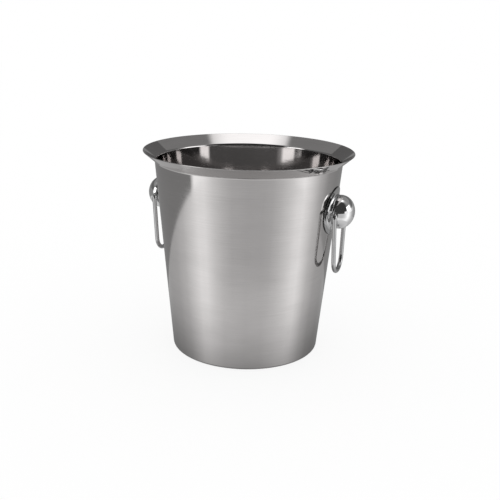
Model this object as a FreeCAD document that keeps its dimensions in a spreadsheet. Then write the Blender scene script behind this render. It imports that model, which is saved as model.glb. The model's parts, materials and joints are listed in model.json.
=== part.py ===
"""Champagne bucket: a flared steel bowl with two ball knobs and a swinging ring in each.

Millimetres. +Z is up and the origin is the centre of the base, on the table. The knobs stand on +X and -X.
The pieces of a handle share one frame: its origin is where the handle's axis meets the outside of the wall,
its +X runs out along that axis, square to the tapered wall, and its +Y runs along the pins of the ring.
"""

import FreeCAD, Part
import math
import os

import Sketcher

vec = FreeCAD.Vector
doc = FreeCAD.newDocument("champagne_bucket")

DIMENSIONS = [
    # the bowl
    ("height", 210.0),
    ("rim_radius", 107.9),
    ("mouth_radius", 96.0),  # outside of the wall, at the crease below the flare
    ("crease_height", 199.3),
    ("base_radius", 77.4),  # outside of the wall, run on down to the table
    ("sheet", 0.8),
    ("corner_bend", 3.0),  # bend radii are on the outside
    ("crease_bend", 2.4),
    ("lip_round", 0.36),
    ("kick_up", 1.2),  # the raised middle of the base
    ("kick_radius", 58.0),
    ("kick_run", 5.0),
    ("screw_hole_radius", 2.9),
    # where the handle's axis meets the wall
    ("axis_height", 156.4),
    # knob, along the handle's axis from the wall
    ("knob_radius", 17.0),
    ("knob_reach", 14.7),  # from its centre to its front
    ("knob_cheek", 12.5),  # bend between its widest part and its crown
    ("knob_centre", 6.8),
    ("knob_seat", 3.8),
    ("pin_hole_radius", 2.3),
    ("pin_hole_floor", 8.5),
    ("countersink_start", 16.3),
    ("countersink_end", 17.8),
    ("tapped_radius", 2.5),
    ("tapped_end", 12.8),
    # escutcheon
    ("plate_radius", 24.4),
    ("plate_thickness", 1.0),
    ("plate_round", 0.4),
    ("boss_radius", 16.0),
    ("boss_foot_radius", 18.6),
    ("boss_fillet", 4.0),
    ("seat_gap", 0.02),
    # ring
    ("wire_radius", 2.2),
    ("pin_end", 9.2),
    ("shoulder_bend", 3.6),
    ("ring_half_width", 20.0),
    ("ring_bottom_bend", 15.0),
    ("ring_drop", 61.6),
    # fixing, inside the bowl
    ("seal_radius", 9.0),
    ("seal_thickness", 1.6),
    ("washer_radius", 7.5),
    ("washer_thickness", 1.2),
    ("washer_bore_radius", 2.65),
    ("screw_radius", 2.4),
    ("screw_length", 14.6),
    ("head_radius", 4.75),
    ("head_height", 3.2),
    ("head_round", 1.2),
    ("recess_width", 1.1),
    ("recess_span", 5.0),
    ("recess_depth", 1.7),
    # how far a tool runs past the piece that it trims
    ("tool_run", 12.0),
]

sheet = doc.addObject("Spreadsheet::Sheet", "dims")
for row, (alias, value) in enumerate(DIMENSIONS, start=1):
    sheet.set(f"A{row}", alias)
    sheet.set(f"B{row}", str(value))
    sheet.setAlias(f"B{row}", alias)
doc.recompute()


def dim(alias):
    return float(sheet.get(alias))


SIDES = {"right": 0.0, "left": 180.0}
NEAR = 0.1  # how far off a length may be when an edge is picked by its place
LEAST_CUT = 0.1  # a cut that takes away less than this, in mm3, has missed
EDGE_POINTS = 9
LEAN = "atan((dims.mouth_radius - dims.base_radius) / dims.crease_height)"

lean = math.atan((dim("mouth_radius") - dim("base_radius")) / dim("crease_height"))
axis_x = dim("base_radius") + dim("axis_height") * math.tan(lean)
pivot = vec(
    axis_x + dim("knob_centre") * math.cos(lean),
    0,
    dim("axis_height") - dim("knob_centre") * math.sin(lean),
)


# ------------------------------------------------------------------ sketches and features
def new_body(label):
    body = doc.addObject("PartDesign::Body", label)
    body.Label = label
    return body


def new_sketch(body, name, role="XZ_Plane", shift=(0, 0, 0)):
    """A sketch on one of the body's own planes, its origin moved within the sketch's own frame."""
    sketch = body.newObject("Sketcher::SketchObject", name)
    plane = next(f for f in body.Origin.OriginFeatures if f.Role == role)
    sketch.AttachmentSupport = [(plane, "")]
    sketch.MapMode = "FlatFace"
    sketch.AttachmentOffset = FreeCAD.Placement(vec(*shift), FreeCAD.Rotation())
    return sketch


def constrain(sketch, kind, *where, value=None, to=None):
    """Adds a constraint. Its value follows the expression in `to`."""
    if to is None:
        return sketch.addConstraint(Sketcher.Constraint(kind, *where))
    index = sketch.addConstraint(Sketcher.Constraint(kind, *where, value))
    sketch.setExpression(f"Constraints[{index}]", to)
    return index


def hold_point(sketch, part, end, x, y, x_to, y_to):
    """Puts a point on an axis where its expression is 0, or at the distance the expression gives."""
    for kind, value, expression, axis in (("DistanceX", x, x_to, -2), ("DistanceY", y, y_to, -1)):
        if expression == 0:
            constrain(sketch, "PointOnObject", part, end, axis)
        elif expression is not None:
            constrain(sketch, kind, -1, 1, part, end, value=value, to=expression)


def outline(sketch, points):
    """A closed outline of straight lines. A point is (x, y, expression for x, expression for y)."""
    first = sketch.GeometryCount
    count = len(points)
    for k in range(count):
        start, end = points[k], points[(k + 1) % count]
        sketch.addGeometry(Part.LineSegment(vec(start[0], start[1], 0), vec(end[0], end[1], 0)), False)
    for k in range(count):
        constrain(sketch, "Coincident", first + k, 2, first + (k + 1) % count, 1)
    for k, point in enumerate(points):
        hold_point(sketch, first + k, 1, *point)


def circle(sketch, alias, y=0.0, y_to=0):
    """A circle on the sketch's vertical axis, with its radius from the spreadsheet."""
    index = sketch.addGeometry(Part.Circle(vec(0, y, 0), vec(0, 0, 1), dim(alias)), False)
    hold_point(sketch, index, 3, 0, y, 0, y_to)
    constrain(sketch, "Radius", index, value=dim(alias), to=f"dims.{alias}")


def feature(body, kind, profile, name, expressions=None, **settings):
    """A sketch-based feature. One that takes away has to take something away."""
    before = body.Shape.Volume if kind in ("Pocket", "Groove") else None
    made = body.newObject(f"PartDesign::{kind}", name)
    made.Profile = profile
    for key, value in settings.items():
        setattr(made, key, value)
    for key, expression in (expressions or {}).items():
        made.setExpression(key, expression)
    doc.recompute()
    if before is not None and body.Shape.Volume > before - LEAST_CUT:
        raise RuntimeError(f"{body.Label}: {name} cut nothing")
    return made


def edges_where(base, test, name):
    numbers = [k for k, edge in enumerate(base.Shape.Edges, start=1) if test(edge)]
    if not numbers:
        raise RuntimeError(f"{name}: no such edge")
    return numbers


def bend(body, base, name, expression, test):
    """Rounds the edges that a test picks, so the result doesn't hang on edge numbers."""
    made = body.newObject("PartDesign::Fillet", name)
    made.Base = (base, [f"Edge{k}" for k in edges_where(base, test, name)])
    made.setExpression("Radius", expression)
    doc.recompute()
    return made


def circle_at(axis, place, radius, slack=NEAR):
    """Picks circular edges by their centre's place along an axis (0, 1 or 2) and their radius."""

    def test(edge):
        curve = edge.Curve
        if not isinstance(curve, Part.Circle):
            return False
        return abs(curve.Center[axis] - place) <= slack and abs(curve.Radius - radius) <= slack

    return test


# ------------------------------------------------------------------ the bowl
def make_bowl():
    """One drawn sheet: raised middle of the base, tapered wall, flared lip, and two screw holes."""
    body = new_body("bowl")
    t = dim("sheet")
    rise = dim("height") - dim("crease_height")
    spread = dim("rim_radius") - dim("mouth_radius")
    slope = math.hypot(rise, spread)
    lip = dim("height") - t * spread / slope  # height of the lip's outer edge
    kick_end = dim("kick_radius") + dim("kick_run")

    outside = [
        (0.0, dim("kick_up"), 0, "dims.kick_up"),
        (dim("kick_radius"), dim("kick_up"), "dims.kick_radius", "dims.kick_up"),
        (kick_end, 0.0, "dims.kick_radius + dims.kick_run", 0),
        (dim("base_radius"), 0.0, "dims.base_radius", 0),
        (dim("mouth_radius"), dim("crease_height"), "dims.mouth_radius", "dims.crease_height"),
        (dim("rim_radius"), lip, "dims.rim_radius", None),
    ]
    inside = [
        (dim("rim_radius") - t * rise / slope, dim("height"), None, "dims.height"),
        (dim("mouth_radius") - t, dim("crease_height") + t / 2, None, None),
        (dim("base_radius") - t, t, None, None),
        (kick_end, t, None, None),
        (dim("kick_radius"), dim("kick_up") + t, None, None),
        (0.0, dim("kick_up") + t, 0, None),
    ]
    section = new_sketch(body, "bowl_section")
    outline(section, outside + inside)
    lip_line = len(outside) - 1
    constrain(section, "Perpendicular", lip_line - 1, lip_line)
    for k in range(lip_line):
        inner = 2 * lip_line - k
        constrain(section, "Parallel", k, inner)
        constrain(section, "Distance", inner, 1, k, value=t, to="dims.sheet")
    shell = feature(body, "Revolution", section, "bowl_shell", ReferenceAxis=(section, ["V_Axis"]))

    base, mouth, rim = dim("base_radius"), dim("mouth_radius"), dim("rim_radius")
    crease = dim("crease_height")
    bends = [
        ("corner_outside", "dims.corner_bend", circle_at(2, 0, base)),
        ("corner_inside", "dims.corner_bend - dims.sheet", circle_at(2, t, base - t, t / 2)),
        ("crease_outside", "dims.crease_bend", circle_at(2, crease, mouth)),
        ("crease_inside", "dims.crease_bend + dims.sheet", circle_at(2, crease + t / 2, mouth - t, t / 2)),
        ("lip_edges", "dims.lip_round", circle_at(2, lip, rim - t / 2, t)),
    ]
    last = shell
    for name, expression, test in bends:
        last = bend(body, last, name, expression, test)

    holes = new_sketch(body, "screw_holes", "YZ_Plane")
    circle(holes, "screw_hole_radius", dim("axis_height"), "dims.axis_height")
    feature(body, "Pocket", holes, "screw_holes_cut", Type="ThroughAll", Midplane=True)


# ------------------------------------------------------------------ the handles
def on_wall(side):
    """Placement of a handle's frame on the wall."""
    turn = FreeCAD.Rotation(vec(0, 0, 1), SIDES[side])
    tilt = FreeCAD.Rotation(vec(0, 1, 0), math.degrees(lean))
    return FreeCAD.Placement(turn.multVec(vec(axis_x, 0, dim("axis_height"))), turn.multiply(tilt))


def at_pivot(side):
    """Placement of a ring, which hangs straight down from its pins."""
    turn = FreeCAD.Rotation(vec(0, 0, 1), SIDES[side])
    return FreeCAD.Placement(turn.multVec(pivot), turn)


def primitive(kind, name, placement, **expressions):
    piece = doc.addObject(f"Part::{kind}", name)
    for key, expression in expressions.items():
        piece.setExpression(key, expression)
    piece.Placement = placement
    return piece


def along_axis(start):
    """Placement that lays a round primitive along the handle's axis, from start outwards."""
    return FreeCAD.Placement(vec(start, 0, 0), FreeCAD.Rotation(vec(0, 1, 0), 90))


def combine(kind, name, first, second):
    made = doc.addObject(f"Part::{kind}", name)
    made.Base = first
    made.Tool = second
    doc.recompute()
    return made


def wall_cone(name, stand_off):
    """The solid cone that the bucket's wall wraps, grown by stand_off, as the handle's frame sees it."""
    grown = f"({stand_off}) / cos({LEAN})"
    return primitive(
        "Cone", name, on_wall("right").inverse(),
        Radius1=f"dims.base_radius + {grown}",
        Radius2=f"dims.mouth_radius + {grown}",
        Height="dims.crease_height",
    )


def make_escutcheon(side):
    """A plate that follows the wall, with a round boss that the knob sits on and a bore for the screw."""
    label = f"{side}_escutcheon"
    disc = primitive("Cylinder", f"{side}_plate_disc", along_axis(-dim("tool_run")),
                     Radius="dims.plate_radius", Height="dims.plate_thickness + 2 * dims.tool_run")
    front = wall_cone(f"{side}_plate_front", "dims.plate_thickness + dims.seat_gap")
    plate = combine("Common", f"{side}_plate", disc, front)
    boss = primitive("Cone", f"{side}_boss", along_axis(-dim("knob_seat")),
                     Radius1="2 * dims.boss_foot_radius - dims.boss_radius",
                     Radius2="dims.boss_radius", Height="2 * dims.knob_seat")
    blank = combine("Fuse", f"{side}_plate_blank", plate, boss)
    seated = combine("Cut", f"{side}_plate_seated", blank, wall_cone(f"{side}_plate_seat", "dims.seat_gap"))
    bore = primitive("Cylinder", f"{side}_plate_bore", along_axis(-dim("tool_run")),
                     Radius="dims.screw_hole_radius", Height="2 * dims.tool_run")
    bored = combine("Cut", f"{side}_plate_bored", seated, bore)

    def between(low, high):
        """Picks the edges on the front of the plate that run round the bore at these radii."""

        def test(edge):
            points = edge.discretize(EDGE_POINTS)
            radii = [math.hypot(p.y, p.z) for p in points]
            above_wall = [p.x + p.y ** 2 / (2 * axis_x) for p in points]
            return low < min(radii) and max(radii) < high and min(above_wall) > dim("plate_thickness") / 2

        return test

    plate_edge, margin = dim("plate_radius"), dim("plate_thickness")
    foot = between(dim("boss_radius") + margin, plate_edge - margin)
    rim = between(plate_edge - margin, plate_edge + margin)
    fillet = doc.addObject("Part::Fillet", label)
    fillet.Base = bored
    fillet.Edges = [
        (k, dim(radius), dim(radius))
        for radius, test in (("boss_fillet", foot), ("plate_round", rim))
        for k in edges_where(bored, test, label)
    ]
    fillet.Label = label
    doc.recompute()
    fillet.Placement = on_wall(side)


def make_knob(side):
    """A ball, a little flattened in front and cut off behind, with a tapped hole and two pin holes."""
    body = new_body(f"{side}_knob")
    centre, seat, radius = dim("knob_centre"), dim("knob_seat"), dim("knob_radius")
    reach, cheek = dim("knob_reach"), dim("knob_cheek")
    seat_radius = math.sqrt(radius ** 2 - (centre - seat) ** 2)

    section = new_sketch(body, f"{side}_knob_section")
    middle = vec(centre, 0, 0)
    back_line = section.addGeometry(Part.LineSegment(vec(seat, 0, 0), vec(seat, seat_radius, 0)), False)
    back_arc = section.addGeometry(
        Part.ArcOfCircle(Part.Circle(middle, vec(0, 0, 1), radius), math.pi / 2,
                         math.pi - math.acos((centre - seat) / radius)), False)
    cheek_at = vec(centre, radius - cheek, 0)
    crown_back = ((radius - cheek) ** 2 - (reach - cheek) ** 2) / (2 * (reach - cheek))
    crown_at = vec(centre - crown_back, 0, 0)
    meet = math.atan2(cheek_at.y, crown_back)
    cheek_arc = section.addGeometry(
        Part.ArcOfCircle(Part.Circle(cheek_at, vec(0, 0, 1), cheek), meet, math.pi / 2), False)
    crown_arc = section.addGeometry(
        Part.ArcOfCircle(Part.Circle(crown_at, vec(0, 0, 1), reach + crown_back), 0, meet), False)
    axis_line = section.addGeometry(Part.LineSegment(vec(centre + reach, 0, 0), vec(seat, 0, 0)), False)

    constrain(section, "Coincident", back_line, 2, back_arc, 2)
    constrain(section, "Tangent", back_arc, 1, cheek_arc, 2)
    constrain(section, "Tangent", cheek_arc, 1, crown_arc, 2)
    constrain(section, "Coincident", crown_arc, 1, axis_line, 1)
    constrain(section, "Coincident", axis_line, 2, back_line, 1)
    constrain(section, "Vertical", back_line)
    hold_point(section, back_line, 1, seat, 0, "dims.knob_seat", 0)
    hold_point(section, back_arc, 3, centre, 0, "dims.knob_centre", 0)
    hold_point(section, axis_line, 1, centre + reach, 0, "dims.knob_centre + dims.knob_reach", 0)
    constrain(section, "PointOnObject", crown_arc, 3, -1)
    constrain(section, "Vertical", back_arc, 3, cheek_arc, 3)
    constrain(section, "Radius", back_arc, value=radius, to="dims.knob_radius")
    constrain(section, "Radius", cheek_arc, value=cheek, to="dims.knob_cheek")
    feature(body, "Revolution", section, f"{side}_knob_ball", ReferenceAxis=(section, ["H_Axis"]))

    pins = new_sketch(body, f"{side}_pin_holes", "XY_Plane", (centre, 0, 0))
    pins.setExpression(".AttachmentOffset.Base.x", "dims.knob_centre")
    mouth = dim("pin_hole_radius") + dim("countersink_end") - dim("countersink_start")
    mouth_to = "dims.pin_hole_radius + dims.countersink_end - dims.countersink_start"
    for way in (1, -1):
        outline(pins, [
            (0, way * dim("pin_hole_floor"), 0, f"{way} * dims.pin_hole_floor"),
            (dim("pin_hole_radius"), way * dim("pin_hole_floor"),
             "dims.pin_hole_radius", f"{way} * dims.pin_hole_floor"),
            (dim("pin_hole_radius"), way * dim("countersink_start"),
             "dims.pin_hole_radius", f"{way} * dims.countersink_start"),
            (mouth, way * dim("countersink_end"), mouth_to, f"{way} * dims.countersink_end"),
            (0, way * dim("countersink_end"), 0, f"{way} * dims.countersink_end"),
        ])
    feature(body, "Groove", pins, f"{side}_pin_holes_cut", ReferenceAxis=(pins, ["V_Axis"]))

    tapped = new_sketch(body, f"{side}_tapped_hole", "YZ_Plane")
    circle(tapped, "tapped_radius")
    feature(body, "Pocket", tapped, f"{side}_tapped_hole_cut", {"Length": "dims.tapped_end"}, Reversed=True)
    body.Placement = on_wall(side)


def make_ring(side):
    """One bent wire: a pin turned in at each end, two sides that lean in, and a round bottom."""
    body = new_body(f"{side}_ring")
    drop, shoulder, bottom = dim("ring_drop"), dim("shoulder_bend"), dim("ring_bottom_bend")
    pin_end, shoulder_y = dim("pin_end"), dim("ring_half_width") - shoulder
    # each side touches its shoulder's bend and the bottom's, so it leans in by this much
    run = math.hypot(shoulder_y, drop - bottom - shoulder)
    side_lean = math.asin(shoulder_y / run) - math.asin((bottom - shoulder) / run)
    touching = {1: -side_lean, -1: math.pi + side_lean}  # where a side touches both of its bends

    path = new_sketch(body, f"{side}_ring_path", "YZ_Plane")
    bottom_at = vec(0, bottom - drop, 0)
    legs = {}
    for way, angle in touching.items():
        out = vec(math.cos(angle), math.sin(angle), 0)
        bend_at = vec(way * shoulder_y, -shoulder, 0)
        pin = path.addGeometry(
            Part.LineSegment(vec(way * pin_end, 0, 0), vec(way * shoulder_y, 0, 0)), False)
        start, end = sorted((angle, math.pi / 2))
        arc = path.addGeometry(
            Part.ArcOfCircle(Part.Circle(bend_at, vec(0, 0, 1), shoulder), start, end), False)
        line = path.addGeometry(Part.LineSegment(bend_at + out * shoulder, bottom_at + out * bottom), False)
        legs[way] = (pin, arc, line)
    start, end = touching[-1], 2 * math.pi + touching[1]
    round_bottom = path.addGeometry(
        Part.ArcOfCircle(Part.Circle(bottom_at, vec(0, 0, 1), bottom), start, end), False)

    for way, (pin, arc, line) in legs.items():
        arc_top, arc_low = (2, 1) if way == 1 else (1, 2)
        constrain(path, "Tangent", pin, 2, arc, arc_top)
        constrain(path, "Tangent", arc, arc_low, line, 1)
        constrain(path, "Tangent", line, 2, round_bottom, arc_top)
        hold_point(path, pin, 1, way * pin_end, 0, f"{way} * dims.pin_end", 0)
        constrain(path, "Horizontal", pin)
        constrain(path, "DistanceX", -1, 1, arc, 3, value=way * shoulder_y,
                  to=f"{way} * (dims.ring_half_width - dims.shoulder_bend)")
        constrain(path, "Radius", arc, value=shoulder, to="dims.shoulder_bend")
    hold_point(path, round_bottom, 3, 0, bottom - drop, 0, "dims.ring_bottom_bend - dims.ring_drop")
    constrain(path, "Radius", round_bottom, value=bottom, to="dims.ring_bottom_bend")

    wire = new_sketch(body, f"{side}_ring_wire", "XZ_Plane", (0, 0, -pin_end))
    wire.setExpression(".AttachmentOffset.Base.z", "-dims.pin_end")
    circle(wire, "wire_radius")
    feature(body, "AdditivePipe", wire, f"{side}_ring_bar", Spine=(path, []))
    body.Placement = at_pivot(side)


# ------------------------------------------------------------------ the fixing, inside the bowl
def make_seal(side):
    """A soft washer, flat behind and shaped to the hollow of the wall in front."""
    back = dim("sheet") + dim("seal_thickness")
    blank = primitive("Cylinder", f"{side}_seal_blank", along_axis(-back),
                      Radius="dims.seal_radius", Height="dims.seal_thickness + dims.sheet")
    shaped = combine("Common", f"{side}_seal_shaped", blank,
                     wall_cone(f"{side}_seal_front", "-dims.sheet - dims.seat_gap"))
    bore = primitive("Cylinder", f"{side}_seal_bore", along_axis(-dim("tool_run")),
                     Radius="dims.screw_radius", Height="2 * dims.tool_run")
    seal = combine("Cut", f"{side}_seal", shaped, bore)
    seal.Placement = on_wall(side)


def make_washer(side):
    """A flat steel washer between the screw's head and the seal."""
    body = new_body(f"{side}_washer")
    front = -dim("sheet") - dim("seal_thickness")
    face = new_sketch(body, f"{side}_washer_face", "YZ_Plane", (0, 0, front))
    face.setExpression(".AttachmentOffset.Base.z", "-dims.sheet - dims.seal_thickness")
    circle(face, "washer_radius")
    circle(face, "washer_bore_radius")
    feature(body, "Pad", face, f"{side}_washer_disc", {"Length": "dims.washer_thickness"}, Reversed=True)
    body.Placement = on_wall(side)


def make_screw(side):
    """A round-headed machine screw with a cross recess, from inside the bowl into the knob."""
    body = new_body(f"{side}_screw")
    under = -dim("sheet") - dim("seal_thickness") - dim("washer_thickness")
    under_to = "-dims.sheet - dims.seal_thickness - dims.washer_thickness"
    top, end = under - dim("head_height"), under + dim("screw_length")
    section = new_sketch(body, f"{side}_screw_section")
    outline(section, [
        (top, 0, f"{under_to} - dims.head_height", 0),
        (top, dim("head_radius"), f"{under_to} - dims.head_height", "dims.head_radius"),
        (under, dim("head_radius"), under_to, "dims.head_radius"),
        (under, dim("screw_radius"), under_to, "dims.screw_radius"),
        (end, dim("screw_radius"), f"{under_to} + dims.screw_length", "dims.screw_radius"),
        (end, 0, f"{under_to} + dims.screw_length", 0),
    ])
    blank = feature(body, "Revolution", section, f"{side}_screw_blank", ReferenceAxis=(section, ["H_Axis"]))
    bend(body, blank, f"{side}_head_round", "dims.head_round", circle_at(0, top, dim("head_radius")))

    recess = new_sketch(body, f"{side}_recess", "YZ_Plane", (0, 0, top))
    recess.setExpression(".AttachmentOffset.Base.z", f"{under_to} - dims.head_height")
    span, half = dim("recess_span") / 2, dim("recess_width") / 2
    arm = [(half, half), (half, span), (-half, span)]
    cross = []
    for quarter in range(4):
        for x, y in arm:
            for _ in range(quarter):
                x, y = -y, x
            names = {span: "dims.recess_span / 2", half: "dims.recess_width / 2"}
            cross.append((x, y, f"{math.copysign(1, x):.0f} * {names[abs(x)]}",
                          f"{math.copysign(1, y):.0f} * {names[abs(y)]}"))
    outline(recess, cross)
    feature(body, "Pocket", recess, f"{side}_recess_cut", {"Length": "dims.recess_depth"}, Reversed=True)
    body.Placement = on_wall(side)


make_bowl()
for side in SIDES:
    make_escutcheon(side)
    make_knob(side)
    make_ring(side)
    make_seal(side)
    make_washer(side)
    make_screw(side)
doc.recompute()

HANDLE_PIECES = ("escutcheon", "knob", "ring", "seal", "washer", "screw")
PIECES = ["bowl"] + [f"{side}_{piece}" for side in SIDES for piece in HANDLE_PIECES]

for item in doc.Objects:
    if {"Invalid", "Error"} & set(item.State):
        raise RuntimeError(f"{item.Label} failed: {item.State}")

os.makedirs("parts", exist_ok=True)
for label in PIECES:
    piece = doc.getObjectsByLabel(label)[0]
    shape = piece.Shape
    if shape.isNull() or not shape.isValid() or len(shape.Solids) != 1:
        raise RuntimeError(f"{label} is not one valid solid")
    shape.exportStep(f"parts/{label}.step")
    box = shape.optimalBoundingBox()
    print(f"{label}: {shape.Volume:.0f} mm3,"
          f" z {box.ZMin:.2f} to {box.ZMax:.2f}, x {box.XMin:.2f} to {box.XMax:.2f}")
print(f"pivot {pivot.x:.3f} {pivot.z:.3f}, lean {math.degrees(lean):.3f}")
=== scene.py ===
import json
import math

import bmesh
import bpy
from mathutils import Euler, Matrix, Vector


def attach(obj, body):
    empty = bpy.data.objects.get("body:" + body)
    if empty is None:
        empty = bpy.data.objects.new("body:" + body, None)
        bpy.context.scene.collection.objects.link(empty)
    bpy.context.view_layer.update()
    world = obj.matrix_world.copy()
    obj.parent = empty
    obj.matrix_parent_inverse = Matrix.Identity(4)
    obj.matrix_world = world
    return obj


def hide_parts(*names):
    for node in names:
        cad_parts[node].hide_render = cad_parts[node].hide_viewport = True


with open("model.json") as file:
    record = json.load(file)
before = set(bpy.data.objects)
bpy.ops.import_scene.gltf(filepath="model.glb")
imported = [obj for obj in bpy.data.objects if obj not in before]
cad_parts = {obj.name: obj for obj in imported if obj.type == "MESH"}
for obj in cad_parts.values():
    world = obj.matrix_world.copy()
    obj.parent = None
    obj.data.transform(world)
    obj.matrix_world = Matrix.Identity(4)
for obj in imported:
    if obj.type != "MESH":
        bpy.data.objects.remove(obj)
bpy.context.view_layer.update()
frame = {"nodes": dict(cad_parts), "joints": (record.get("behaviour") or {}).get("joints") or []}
nodes = frame["nodes"]
pivots = {joint["child"]: Vector(joint["pos_m"]) for joint in frame["joints"]}
sides = {"right": 0, "left": 180}  # degrees round the bucket
near = 1e-5  # how far off a place may be when it is picked
mergeWithin = 1e-6
print("frame loaded,", len(nodes), "nodes")


# small helpers for working in edit mode

def selectNothing():
    if bpy.context.mode != "OBJECT":
        bpy.ops.object.mode_set(mode="OBJECT")
    bpy.ops.object.select_all(action="DESELECT")


def startPiece(name):
    # names the primitive that was just added, leaves its place in its mesh and opens it, all selected
    piece = bpy.context.object
    piece.name = piece.data.name = name
    bpy.ops.object.transform_apply(location=True, rotation=True, scale=True)
    bpy.ops.object.mode_set(mode="EDIT")
    bpy.ops.mesh.select_mode(type="EDGE")
    bpy.ops.mesh.select_all(action="SELECT")
    return piece


def pickEdges(test):
    bpy.ops.mesh.select_mode(type="EDGE")
    bpy.ops.mesh.select_all(action="DESELECT")
    editMesh = bmesh.from_edit_mesh(bpy.context.object.data)
    for edge in editMesh.edges:
        edge.select_set(all(test(corner.co) for corner in edge.verts))
    bmesh.update_edit_mesh(bpy.context.object.data)


def closePiece():
    # joins the corners that meet, turns all faces outwards and leaves edit mode
    bpy.ops.mesh.select_all(action="SELECT")
    bpy.ops.mesh.remove_doubles(threshold=mergeWithin)
    bpy.ops.mesh.normals_make_consistent(inside=False)
    bpy.ops.object.mode_set(mode="OBJECT")


def takePiece(piece):
    # selects one piece and nothing else
    selectNothing()
    bpy.context.view_layer.objects.active = piece
    piece.select_set(True)


def applyModifier(piece, kind, **settings):
    takePiece(piece)
    modifier = piece.modifiers.new(kind.lower(), kind)
    for key, value in settings.items():
        setattr(modifier, key, value)
    bpy.ops.object.modifier_apply(modifier=modifier.name)


def placePiece(piece, placement):
    # puts a finished piece in its place and leaves the place in its mesh
    takePiece(piece)
    piece.matrix_world = placement
    bpy.ops.object.transform_apply(location=True, rotation=True, scale=True)


def copyPiece(piece, name):
    twin = bpy.data.objects.new(name, piece.data.copy())
    bpy.context.scene.collection.objects.link(twin)
    return twin


def dressPiece(piece, finish):
    piece.data.materials.clear()
    piece.data.materials.append(finish)


def finishPiece(piece, finish, node, body):
    # the piece stands for a node of the frame, moves with a body and takes a slot's finish
    dressPiece(piece, finish)
    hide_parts(node)
    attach(piece, body)


# materials

def newFinish(name):
    finish = bpy.data.materials.new(name)
    finish.use_nodes = True
    tree = finish.node_tree
    shader = tree.nodes["Principled BSDF"]
    return finish, tree, shader


def addNode(tree, kind, **settings):
    node = tree.nodes.new(kind)
    for key, value in settings.items():
        if key in node.inputs:
            node.inputs[key].default_value = value
        else:
            setattr(node, key, value)
    return node


def stretchedNoise(tree, stretch, scale, detail):
    # noise drawn out along some of the object's own directions
    place = addNode(tree, "ShaderNodeTexCoord")
    mapping = addNode(tree, "ShaderNodeMapping", Scale=stretch)
    noise = addNode(tree, "ShaderNodeTexNoise", Scale=scale, Detail=detail)
    tree.links.new(place.outputs["Object"], mapping.inputs["Vector"])
    tree.links.new(mapping.outputs["Vector"], noise.inputs["Vector"])
    return noise.outputs["Fac"]


def remap(tree, source, start, end, low, high, **settings):
    # start to end becomes low to high
    ranger = addNode(tree, "ShaderNodeMapRange", **settings)
    for key, value in (("From Min", start), ("From Max", end), ("To Min", low), ("To Max", high)):
        ranger.inputs[key].default_value = value
    tree.links.new(source, ranger.inputs["Value"])
    return ranger.outputs["Result"]


noiseRange = (0.3, 0.7)  # a noise keeps near its middle


def spread(tree, noise, low, high):
    return remap(tree, noise, *noiseRange, low, high)


def calculate(tree, operation, first, second=None, third=None):
    # each value is a socket or a number
    result = addNode(tree, "ShaderNodeMath", operation=operation)
    for k, value in enumerate((first, second, third)):
        if isinstance(value, (int, float)):
            result.inputs[k].default_value = value
        elif value is not None:
            tree.links.new(value, result.inputs[k])
    return result.outputs["Value"]


def mottle(tree, shader, noise, dull, pale):
    # the noise carries the colour from dull to pale
    shade = addNode(tree, "ShaderNodeMix", data_type="RGBA")
    shade.inputs["A"].default_value = dull
    shade.inputs["B"].default_value = pale
    tree.links.new(spread(tree, noise, 0, 1), shade.inputs["Factor"])
    tree.links.new(shade.outputs["Result"], shader.inputs["Base Color"])


def roughen(tree, shader, noise, smoothest, roughest):
    tree.links.new(spread(tree, noise, smoothest, roughest), shader.inputs["Roughness"])


def raiseGrain(tree, shader, noise, strength, distance):
    bump = addNode(tree, "ShaderNodeBump", Strength=strength, Distance=distance)
    tree.links.new(noise, bump.inputs["Height"])
    tree.links.new(bump.outputs["Normal"], shader.inputs["Normal"])


satinSet = {
    "pale": (0.665, 0.645, 0.64, 1),
    "dull": (0.585, 0.568, 0.562, 1),
    "smoothest": 0.03,
    "roughest": 0.07,
    "lineScale": 26,  # brush lines run round the bowl
    "lineStretch": (1, 1, 110),
    "cloudScale": 24,  # broad patches where the brushing is duller
    "cloudStretch": (1, 1, 2.5),
    "cloudShare": 0.5,  # of the colour's changes, the rest comes from the lines
    "bumpDistance": 0.00002,
    "bumpStrength": 0.10,
    "anisotropy": 0.6,
    "smearTurn": 0.25,  # a quarter turn smears highlights up and down, across the lines
}


def makeSatinSteel():
    finish, tree, shader = newFinish("satinSteel")
    lines = stretchedNoise(tree, satinSet["lineStretch"], satinSet["lineScale"], 4)
    clouds = stretchedNoise(tree, satinSet["cloudStretch"], satinSet["cloudScale"], 3)
    share = satinSet["cloudShare"]
    both = calculate(tree, "MULTIPLY_ADD", lines, 1 - share, calculate(tree, "MULTIPLY", clouds, share))
    mottle(tree, shader, both, satinSet["dull"], satinSet["pale"])
    roughen(tree, shader, lines, satinSet["smoothest"], satinSet["roughest"])
    raiseGrain(tree, shader, lines, satinSet["bumpStrength"], satinSet["bumpDistance"])
    grain = addNode(tree, "ShaderNodeTangent", direction_type="RADIAL", axis="Z")
    tree.links.new(grain.outputs["Tangent"], shader.inputs["Tangent"])
    shader.inputs["Metallic"].default_value = 1.0
    shader.inputs["Anisotropic"].default_value = satinSet["anisotropy"]
    shader.inputs["Anisotropic Rotation"].default_value = satinSet["smearTurn"]
    return finish


chromeSet = {
    "pale": (0.90, 0.90, 0.90),
    "dull": (0.82, 0.82, 0.825),
    "smoothest": 0.015,
    "roughest": 0.05,
    "smearScale": 220,
    # for each piece, how far its smears are drawn out, how bright it is and how much rougher
    "knob": (1.0, 1.0, 0.0),
    # the ring's and the plate's chrome are dimmer than the knob's: painted shade for the darker surroundings
    # they see beside the wall
    "ring": (1.3, 0.62, 0.03),
    "plate": (1.6, 0.78, 0.07),
    # the plate's edge is a near-black copy of the chrome: painted shade of the gap against the wall
    "plateEdge": (1.9, 0.10, 0.20),
}


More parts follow.
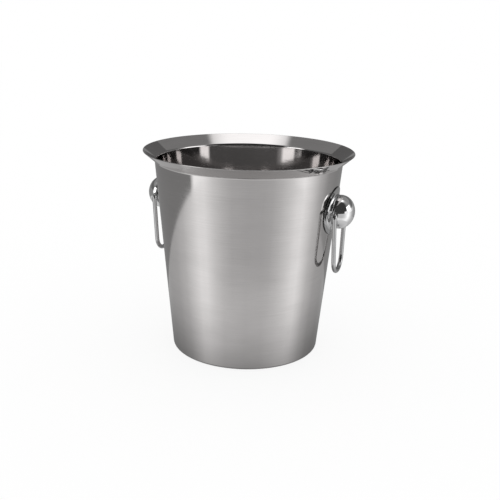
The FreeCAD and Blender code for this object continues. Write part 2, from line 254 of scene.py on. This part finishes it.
def makeChrome(name, drawnOut, tone, rougher):
    finish, tree, shader = newFinish(name)
    smears = stretchedNoise(tree, (1, drawnOut, 1), chromeSet["smearScale"], 3)
    dull, pale = ([tone * part for part in chromeSet[key]] + [1] for key in ("dull", "pale"))
    mottle(tree, shader, smears, dull, pale)
    roughen(tree, shader, smears, chromeSet["smoothest"] + rougher, chromeSet["roughest"] + rougher)
    shader.inputs["Metallic"].default_value = 1.0
    return finish


rubberSet = {
    "pale": (0.03, 0.03, 0.031, 1),
    "dull": (0.012, 0.012, 0.013, 1),
    "smoothest": 0.55,
    "roughest": 0.75,
    "grainScale": 900,
    "bumpDistance": 0.0001,
    "bumpStrength": 0.3,
}


def makeRubber():
    finish, tree, shader = newFinish("blackRubber")
    grain = stretchedNoise(tree, (1, 1, 1), rubberSet["grainScale"], 2)
    mottle(tree, shader, grain, rubberSet["dull"], rubberSet["pale"])
    roughen(tree, shader, grain, rubberSet["smoothest"], rubberSet["roughest"])
    raiseGrain(tree, shader, grain, rubberSet["bumpStrength"], rubberSet["bumpDistance"])
    return finish


fixingSet = {
    "pale": (0.62, 0.61, 0.60, 1),
    "dull": (0.46, 0.455, 0.45, 1),
    "smoothest": 0.22,
    "roughest": 0.36,
    "turningScale": 1400,
}


def makeFixingSteel():
    finish, tree, shader = newFinish("turnedSteel")
    turning = stretchedNoise(tree, (1, 1, 1), fixingSet["turningScale"], 2)
    mottle(tree, shader, turning, fixingSet["dull"], fixingSet["pale"])
    roughen(tree, shader, turning, fixingSet["smoothest"], fixingSet["roughest"])
    shader.inputs["Metallic"].default_value = 1.0
    return finish


satinSteel = makeSatinSteel()
knobChrome = makeChrome("polishedKnob", *chromeSet["knob"])
ringChrome = makeChrome("polishedRing", *chromeSet["ring"])
plateChrome = makeChrome("polishedPlate", *chromeSet["plate"])
# the plate's edge finish is painted shade of the gap between the plate and the wall
gapShadeChrome = makeChrome("paintedGapShade", *chromeSet["plateEdge"])
blackRubber = makeRubber()
turnedSteel = makeFixingSteel()
print("finishes made")


# the bowl, drawn ring by ring from the middle of its base, up the outside, over the lip and back inside

bowlSet = {
    "rimRadius": 0.1079,
    "height": 0.2100,
    "mouthRadius": 0.0960,  # outside of the wall at the crease
    "creaseHeight": 0.1993,
    "baseRadius": 0.0774,  # outside of the wall, run on down to the table
    "sheet": 0.0008,
    "cornerBend": 0.0030,
    "creaseBend": 0.0024,
    "lipRound": 0.00036,
    "kickUp": 0.0012,  # raised middle of the base
    "kickRadius": 0.0580,
    "kickRun": 0.0050,
    "kickBend": 0.0030,
    "middle": 0.004,  # small disc that the rings start from
    "stepsRound": 256,
    "bendSteps": 8,
}
wallLean = math.atan((bowlSet["mouthRadius"] - bowlSet["baseRadius"]) / bowlSet["creaseHeight"])


def insetCorner(before, corner, after, depth):
    # where two lines meet once both have moved to their left by depth
    first = (corner - before).normalized()
    second = (after - corner).normalized()
    left = Vector((-first.y - second.y, first.x + second.x)).normalized()
    return corner + left * (depth / left.dot(Vector((-first.y, first.x))))


def roundCorner(before, corner, after, bend, steps):
    # the corner as an arc that touches both of its lines
    first = (corner - before).normalized()
    second = (after - corner).normalized()
    turn = second.angle_signed(first)
    touch = corner - first * bend * math.tan(abs(turn) / 2)
    centre = touch + Vector((-first.y, first.x)) * math.copysign(bend, turn)
    return [centre + Matrix.Rotation(turn * k / steps, 2) @ (touch - centre) for k in range(steps + 1)]


def bowlProfile():
    # the closed section of the sheet as corners, each a radius and a height, then as rings
    thick = bowlSet["sheet"]
    spreadOut = bowlSet["rimRadius"] - bowlSet["mouthRadius"]
    rise = bowlSet["height"] - bowlSet["creaseHeight"]
    lipHeight = bowlSet["height"] - thick * spreadOut / math.hypot(spreadOut, rise)
    outside = [
        (Vector((bowlSet["middle"], bowlSet["kickUp"])), 0),
        (Vector((bowlSet["kickRadius"], bowlSet["kickUp"])), bowlSet["kickBend"]),
        (Vector((bowlSet["kickRadius"] + bowlSet["kickRun"], 0)), bowlSet["kickBend"]),
        (Vector((bowlSet["baseRadius"], 0)), bowlSet["cornerBend"]),
        (Vector((bowlSet["mouthRadius"], bowlSet["creaseHeight"])), bowlSet["creaseBend"]),
        (Vector((bowlSet["rimRadius"], lipHeight)), bowlSet["lipRound"]),
    ]
    points = [point for point, bend in outside]
    across = (points[-1] - points[-2]).normalized()
    inside = [(points[0] + Vector((0, thick)), 0)]
    for k in range(1, len(points) - 1):
        turn = (points[k + 1] - points[k]).angle_signed(points[k] - points[k - 1])
        inner = insetCorner(points[k - 1], points[k], points[k + 1], thick)
        inside.append((inner, outside[k][1] - math.copysign(thick, turn)))
    inside.append((points[-1] + Vector((-across.y, across.x)) * thick, bowlSet["lipRound"]))
    corners = outside + inside[::-1]
    rings = [corners[0][0]]
    for (before, _), (corner, bend), (after, _) in zip(corners, corners[1:], corners[2:]):
        rings += roundCorner(before, corner, after, bend, bowlSet["bendSteps"])
    return rings + [corners[-1][0]]


def makeBowl():
    selectNothing()
    rings = bowlProfile()
    bpy.ops.mesh.primitive_circle_add(
        vertices=bowlSet["stepsRound"], radius=rings[0].x, fill_type="TRIFAN", location=(0, 0, rings[0].y))
    piece = startPiece("bowlShell")
    pickEdges(lambda co: co.xy.length > rings[0].x / 2)
    for here, there in zip(rings, rings[1:]):
        bpy.ops.mesh.extrude_region_move(TRANSFORM_OT_translate={"value": (0, 0, there.y - here.y)})
        grow = there.x / here.x
        bpy.ops.transform.resize(value=(grow, grow, 1), center_override=(0, 0, there.y))
    bpy.ops.mesh.extrude_region_move()
    bpy.ops.mesh.merge(type="CENTER")
    closePiece()
    bpy.ops.object.shade_smooth()
    applyModifier(piece, "WEIGHTED_NORMAL", mode="FACE_AREA", weight=100)
    finishPiece(piece, satinSteel, "bowl", "bucket")


makeBowl()
print("bowl made")


# the handles are modelled with their own +Z out along the knob's axis and +Y along the pins

handleSet = {
    "knobCentre": 0.0068,  # from the outside of the wall, along the knob's axis
    "knobRadius": 0.0170,
    "knobReach": 0.0147,
    "knobSeat": 0.0038,
    "pinHoleRadius": 0.0023,
    "pinHoleFloor": 0.0085,
    "countersinkStart": 0.0163,
    "countersinkEnd": 0.0178,
    "stepsRound": 96,
    "holeSteps": 48,
    "smoothBelow": 30,  # edges that turn less than this many degrees are shaded smooth
}


def handlePlace(side):
    # the knob's centre, with +Z outwards and square to the wall
    turn = Matrix.Rotation(math.radians(sides[side]), 4, "Z")
    pivot = pivots[f"ring_{side}"]
    outwards = Matrix.Rotation(math.pi / 2 + wallLean, 4, "Y")
    return Matrix.Translation(pivot) @ turn @ outwards


def makeHoleCutter():
    # a countersunk drill, along +Y
    selectNothing()
    flare = handleSet["countersinkEnd"] - handleSet["countersinkStart"]
    bpy.ops.mesh.primitive_circle_add(
        vertices=handleSet["holeSteps"], radius=handleSet["pinHoleRadius"], fill_type="NGON",
        rotation=(math.pi / 2, 0, 0))
    cutter = startPiece("pinHoleDrill")
    bpy.ops.transform.translate(value=(0, handleSet["pinHoleFloor"], 0))
    bpy.ops.mesh.extrude_region_move(
        TRANSFORM_OT_translate={"value": (0, handleSet["countersinkStart"] - handleSet["pinHoleFloor"], 0)})
    bpy.ops.mesh.extrude_region_move(TRANSFORM_OT_translate={"value": (0, flare, 0)})
    grow = (handleSet["pinHoleRadius"] + flare) / handleSet["pinHoleRadius"]
    bpy.ops.transform.resize(value=(grow, 1, grow), center_override=(0, handleSet["countersinkEnd"], 0))
    closePiece()
    return cutter


def makeKnob():
    selectNothing()
    bpy.ops.mesh.primitive_uv_sphere_add(
        segments=handleSet["stepsRound"], ring_count=handleSet["stepsRound"] // 2,
        radius=handleSet["knobRadius"], location=(0, 0, 0))
    piece = startPiece("knobBall")
    # the front is a little flattened
    pickEdges(lambda co: co.z > near)
    flat = handleSet["knobReach"] / handleSet["knobRadius"]
    bpy.ops.transform.resize(value=(1, 1, flat), center_override=(0, 0, 0))
    bpy.ops.mesh.select_all(action="SELECT")
    bpy.ops.mesh.bisect(
        plane_co=(0, 0, handleSet["knobSeat"] - handleSet["knobCentre"]), plane_no=(0, 0, 1),
        clear_inner=True, use_fill=True)
    closePiece()
    cutter = makeHoleCutter()
    for turn in sides.values():
        placePiece(cutter, Matrix.Rotation(math.radians(turn), 4, "Z"))
        applyModifier(piece, "BOOLEAN", object=cutter, operation="DIFFERENCE", solver="EXACT")
    bpy.data.objects.remove(cutter)
    takePiece(piece)
    bpy.ops.object.shade_smooth_by_angle(angle=math.radians(handleSet["smoothBelow"]))
    return piece


ringSet = {
    "wireRadius": 0.0022,
    "pinEnd": 0.0092,
    "shoulderBend": 0.0036,
    "halfWidth": 0.0200,
    "bottomBend": 0.0150,
    "drop": 0.0616,
    "wireSteps": 32,
    "shoulderSteps": 14,
    "bottomSteps": 56,
    "smoothBelow": 40,
}


def makeRing():
    # one wire: pin, shoulder, side, round bottom, side, shoulder, pin
    selectNothing()
    shoulderAt = ringSet["halfWidth"] - ringSet["shoulderBend"]
    fall = ringSet["drop"] - ringSet["bottomBend"] - ringSet["shoulderBend"]
    widening = ringSet["bottomBend"] - ringSet["shoulderBend"]
    run = math.hypot(shoulderAt, fall)
    sideLean = math.asin(shoulderAt / run) - math.asin(widening / run)
    sideLength = math.sqrt(run ** 2 - widening ** 2)
    bpy.ops.mesh.primitive_circle_add(
        vertices=ringSet["wireSteps"], radius=ringSet["wireRadius"], fill_type="NOTHING",
        rotation=(math.pi / 2, 0, 0))
    piece = startPiece("ringBar")
    bpy.ops.transform.translate(value=(0, ringSet["pinEnd"], 0))

    def runStraight(y, z):
        bpy.ops.mesh.extrude_region_move(TRANSFORM_OT_translate={"value": (0, y, z)})

    def turnRound(y, z, angle, steps):
        bpy.ops.mesh.spin(steps=steps, angle=angle, center=(0, y, z), axis=(1, 0, 0), dupli=False)

    pinLength = shoulderAt - ringSet["pinEnd"]
    shoulderTurn = math.pi / 2 + sideLean
    runStraight(pinLength, 0)
    turnRound(shoulderAt, -ringSet["shoulderBend"], shoulderTurn, ringSet["shoulderSteps"])
    runStraight(-sideLength * math.sin(sideLean), -sideLength * math.cos(sideLean))
    turnRound(0, ringSet["bottomBend"] - ringSet["drop"], math.pi - 2 * sideLean, ringSet["bottomSteps"])
    runStraight(-sideLength * math.sin(sideLean), sideLength * math.cos(sideLean))
    turnRound(-shoulderAt, -ringSet["shoulderBend"], shoulderTurn, ringSet["shoulderSteps"])
    runStraight(0, 0)
    bpy.ops.transform.translate(value=(0, pinLength, 0))
    pickEdges(
        lambda co: abs(abs(co.y) - ringSet["pinEnd"]) < near and abs(co.z) < ringSet["wireRadius"] + near)
    bpy.ops.mesh.edge_face_add()
    closePiece()
    bpy.ops.object.shade_smooth_by_angle(angle=math.radians(ringSet["smoothBelow"]))
    return piece


plateSet = {
    "darkFrom": 0.0240,  # the plate is painted dark outside this radius: painted shade of the gap against the wall
    "smoothBelow": 35,
}


def makeEscutcheon(side):
    # a merged copy of the pressed plate, which follows the wall
    piece = copyPiece(nodes[f"{side}_escutcheon"], f"{side}EscutcheonPlate")
    takePiece(piece)
    bpy.ops.object.mode_set(mode="EDIT")
    closePiece()
    bpy.ops.object.shade_smooth_by_angle(angle=math.radians(plateSet["smoothBelow"]))
    applyModifier(piece, "WEIGHTED_NORMAL", mode="FACE_AREA", weight=50, keep_sharp=True)
    return piece


def darkenEdge(plate, side):
    # painted shade: faces at the plate's edge take the dark chrome, standing for the shadowed gap where the
    # plate meets the wall
    plate.data.materials.append(gapShadeChrome)
    toHandle = handlePlace(side).inverted()
    for face in plate.data.polygons:
        if (toHandle @ face.center).xy.length > plateSet["darkFrom"]:
            face.material_index = 1


knobPattern = makeKnob()
ringPattern = makeRing()
for side in sides:
    knob = copyPiece(knobPattern, f"{side}KnobBall")
    placePiece(knob, handlePlace(side))
    finishPiece(knob, knobChrome, f"{side}_knob", "bucket")
    ring = copyPiece(ringPattern, f"{side}RingBar")
    placePiece(ring, Matrix.Translation(pivots[f"ring_{side}"]))
    finishPiece(ring, ringChrome, f"{side}_ring", f"ring_{side}")
    plate = makeEscutcheon(side)
    finishPiece(plate, plateChrome, f"{side}_escutcheon", "bucket")
    darkenEdge(plate, side)
    for node, finish in (("seal", blackRubber), ("washer", turnedSteel), ("screw", turnedSteel)):
        dressPiece(nodes[f"{side}_{node}"], finish)
bpy.data.objects.remove(knobPattern)
bpy.data.objects.remove(ringPattern)
print("handles made")


# camera

cameraSet = {
    "azimuth": 21.2,  # degrees round from the front, towards the right-hand knob
    "distance": 0.80173,
    "height": 0.34844,
    "pitch": 17.039,  # down from level
    "yaw": 0.237,
    "roll": 1.378,
    "lens": 56.94,
    "sensor": 36,
    "nearest": 0.01,
}


def makeCamera():
    bpy.ops.object.camera_add()
    camera = bpy.context.object
    camera.name = "mainCamera"
    around = math.radians(cameraSet["azimuth"])
    away = cameraSet["distance"]
    camera.location = (away * math.sin(around), -away * math.cos(around), cameraSet["height"])
    aim = Euler((math.radians(90 - cameraSet["pitch"]), 0, around - math.radians(cameraSet["yaw"])))
    roll = Matrix.Rotation(math.radians(cameraSet["roll"]), 3, "Z")
    camera.rotation_euler = (aim.to_matrix() @ roll).to_euler()
    camera.data.lens = cameraSet["lens"]
    camera.data.sensor_width = cameraSet["sensor"]
    camera.data.clip_start = cameraSet["nearest"]
    bpy.context.scene.camera = camera


makeCamera()


# studio: a white room, in which the steel sees a table below, dark walls and soft lights

studioSet = {
    # the overhead light, half its width and depth: where each starts and ends to fade
    "overheadWidth": (0.18, 0.52),
    "overheadGlow": (0.2, 0.95),  # and the wider, fainter glow at its ends
    "glowShare": 0.16,
    "overheadDepth": (0.12, 0.18),
    "overheadRise": (0.5, 0.6),
    "overheadBack": 0.01,
    "overheadLight": 1.5,
    # what surrounds the bowl, band above band: the height where a band starts, from -1 straight down to
    # 1 straight up, how far it takes to blend in, then how bright it is at some headings, in degrees from
    # the front, positive to the right
    "bands": [
        (-1, 0.01, [(-180, 0.62), (180, 0.62)]),
        (-0.74, 0.06, [
            (-180, 0.42), (-113, 0.50), (-94, 0.64), (-80, 0.86), (-67, 1.06), (-57, 1.06), (-43, 0.95),
            (-32, 0.84), (0, 0.74), (24, 0.76), (42, 0.88), (54, 0.98), (66, 1.04), (75, 1.0), (95, 0.70),
            (113, 0.50), (180, 0.42)]),
        (-0.57, 0.10, [
            (-180, 0.43), (-137, 0.46), (-113, 0.53), (-94, 0.67), (-80, 0.88), (-67, 1.08), (-57, 1.08),
            (-43, 0.82), (-32, 0.67), (-20, 0.56), (0, 0.52), (20, 0.53), (31, 0.57), (42, 0.68), (54, 0.85),
            (66, 1.04), (75, 1.10), (83, 0.96), (95, 0.70), (113, 0.50), (136, 0.42), (180, 0.43)]),
        (-0.362, 0.005, [
            (-180, 0.24), (-160, 0.25), (-76, 0.25), (-70, 1.3), (-52, 1.3), (-43, 0.82), (-32, 0.67),
            (-20, 0.56), (0, 0.52), (20, 0.53), (31, 0.57), (42, 0.68), (54, 0.9), (61, 1.05),
            (73, 1.2), (86, 0.92), (100, 0.60), (116, 0.37), (136, 0.29), (180, 0.24)]),
        (-0.05, 0.005, [
            (-180, 0.24), (-160, 0.25), (-78, 0.25), (-72, 1.9), (-54, 1.9), (-47, 0.04), (38, 0.04),
            (44, 1.0), (59, 1.0), (65, 0.9), (72, 1.2), (98, 1.0), (118, 0.4), (141, 0.30), (180, 0.24)]),
        (0.14, 0.005, [
            (-180, 0.13), (-78, 0.13), (-72, 1.9), (-54, 1.9), (-47, 0.04), (58, 0.04),
            (64, 2.0), (90, 2.0), (98, 0.5), (110, 0.15), (180, 0.13)]),
        (0.5, 0.005, [(-180, 0.25), (-75, 0.25), (-55, 0.04), (55, 0.04), (75, 0.25), (180, 0.25)]),
    ],
}


def headingRamp(tree, heading, stops):
    ramp = addNode(tree, "ShaderNodeValToRGB")
    elements = ramp.color_ramp.elements
    while len(elements) > 1:
        elements.remove(elements[-1])
    for degrees, value in stops:
        stop = elements.new(0.5 + degrees / 360)
        stop.color = (value, value, value, 1)
    elements.remove(elements[0])
    tree.links.new(heading, ramp.inputs["Fac"])
    return ramp.outputs["Color"]


def step(tree, source, start, end, low=0.0, high=1.0):
    return remap(tree, source, start, end, low, high, interpolation_type="SMOOTHSTEP")


def blendColors(tree, factor, under, over):
    # each of under and over is a socket or a brightness
    mixer = addNode(tree, "ShaderNodeMix", data_type="RGBA")
    tree.links.new(factor, mixer.inputs["Factor"])
    for key, value in (("A", under), ("B", over)):
        if isinstance(value, (int, float)):
            mixer.inputs[key].default_value = (value, value, value, 1)
        else:
            tree.links.new(value, mixer.inputs[key])
    return mixer.outputs["Result"]


def makeStudio():
    world = bpy.data.worlds.new("softStudio")
    bpy.context.scene.world = world
    world.use_nodes = True
    tree = world.node_tree
    place = addNode(tree, "ShaderNodeTexCoord")
    turned = addNode(tree, "ShaderNodeMapping", Rotation=(0, 0, -math.radians(cameraSet["azimuth"])))
    parts = addNode(tree, "ShaderNodeSeparateXYZ")
    tree.links.new(place.outputs["Generated"], turned.inputs["Vector"])
    tree.links.new(turned.outputs["Vector"], parts.inputs["Vector"])
    across, behind, up = (parts.outputs[axis] for axis in "XYZ")
    heading = calculate(tree, "ARCTAN2", across, calculate(tree, "MULTIPLY", behind, -1))
    turn = calculate(tree, "MULTIPLY_ADD", heading, 0.5 / math.pi, 0.5)
    light = 0.0
    for start, blur, stops in studioSet["bands"]:
        light = blendColors(tree, step(tree, up, start, start + blur), light, headingRamp(tree, turn, stops))
    sideways = calculate(tree, "ABSOLUTE", across)
    depthways = calculate(tree, "ABSOLUTE", calculate(tree, "SUBTRACT", behind, studioSet["overheadBack"]))
    glow = studioSet["glowShare"]
    fading = calculate(
        tree, "ADD", step(tree, sideways, *studioSet["overheadWidth"], 1 - glow, 0),
        step(tree, sideways, *studioSet["overheadGlow"], glow, 0))
    inside = calculate(tree, "MULTIPLY", fading, step(tree, depthways, *studioSet["overheadDepth"], 1, 0))
    inside = calculate(tree, "MULTIPLY", inside, step(tree, up, *studioSet["overheadRise"]))
    light = blendColors(tree, inside, light, studioSet["overheadLight"])
    path = addNode(tree, "ShaderNodeLightPath")
    seen = blendColors(tree, path.outputs["Is Glossy Ray"], 1.0, light)
    tree.links.new(seen, tree.nodes["Background"].inputs["Color"])
    bpy.context.scene.view_settings.view_transform = "Standard"


floorSet = {
    "reach": 4.0,
    "stepsRound": 64,
    "glow": 0.85,  # the floor's own light, beside the light that it takes
    "paper": 0.15,
    # a dark disc that only the steel sees, so that the wall darkens towards the bowl's foot
    "shadeStart": 0.072,
    "shadeEnd": 0.240,
    "shadeDepth": 0.58,
    "shadeSteepness": 2,
    "shadeHeight": 0.0002,
    "shadeStepsRound": 96,
}


def makeDisc(name, radius, height, stepsRound):
    # a flat piece of the studio with an empty material
    selectNothing()
    bpy.ops.mesh.primitive_circle_add(
        vertices=stepsRound, radius=radius, fill_type="NGON", location=(0, 0, height))
    disc = bpy.context.object
    disc.name = name
    finish = bpy.data.materials.new(name)
    finish.use_nodes = True
    tree = finish.node_tree
    tree.nodes.clear()
    disc.data.materials.append(finish)
    return disc, tree, addNode(tree, "ShaderNodeOutputMaterial").inputs["Surface"]


def joinShaders(tree, kind, *shaders):
    joined = addNode(tree, kind)
    sockets = [socket for socket in joined.inputs if socket.type == "SHADER"]
    for socket, shader in zip(sockets, shaders):
        tree.links.new(shader.outputs[0], socket)
    return joined


def makeFootShade():
    shade, tree, surface = makeDisc(
        "footShade", floorSet["shadeEnd"], floorSet["shadeHeight"], floorSet["shadeStepsRound"])
    for kind in ("camera", "diffuse", "transmission", "shadow"):
        setattr(shade, f"visible_{kind}", False)
    place = addNode(tree, "ShaderNodeTexCoord")
    reach = addNode(tree, "ShaderNodeVectorMath", operation="LENGTH")
    tree.links.new(place.outputs["Object"], reach.inputs[0])
    closeness = remap(tree, reach.outputs["Value"], floorSet["shadeStart"], floorSet["shadeEnd"], 1, 0)
    steep = calculate(tree, "POWER", closeness, floorSet["shadeSteepness"])
    mixed = joinShaders(
        tree, "ShaderNodeMixShader", addNode(tree, "ShaderNodeBsdfTransparent"),
        addNode(tree, "ShaderNodeEmission", Strength=0))
    tree.links.new(calculate(tree, "MULTIPLY", steep, floorSet["shadeDepth"]), mixed.inputs["Fac"])
    tree.links.new(mixed.outputs[0], surface)


def makeFloor():
    floor, tree, surface = makeDisc("paleFloor", floorSet["reach"], 0, floorSet["stepsRound"])
    floor.visible_glossy = False
    paper = floorSet["paper"]
    total = joinShaders(
        tree, "ShaderNodeAddShader", addNode(tree, "ShaderNodeEmission", Strength=floorSet["glow"]),
        addNode(tree, "ShaderNodeBsdfDiffuse", Color=(paper, paper, paper, 1)))
    tree.links.new(total.outputs[0], surface)


makeStudio()
makeFootShade()
makeFloor()
print("studio and camera ready")
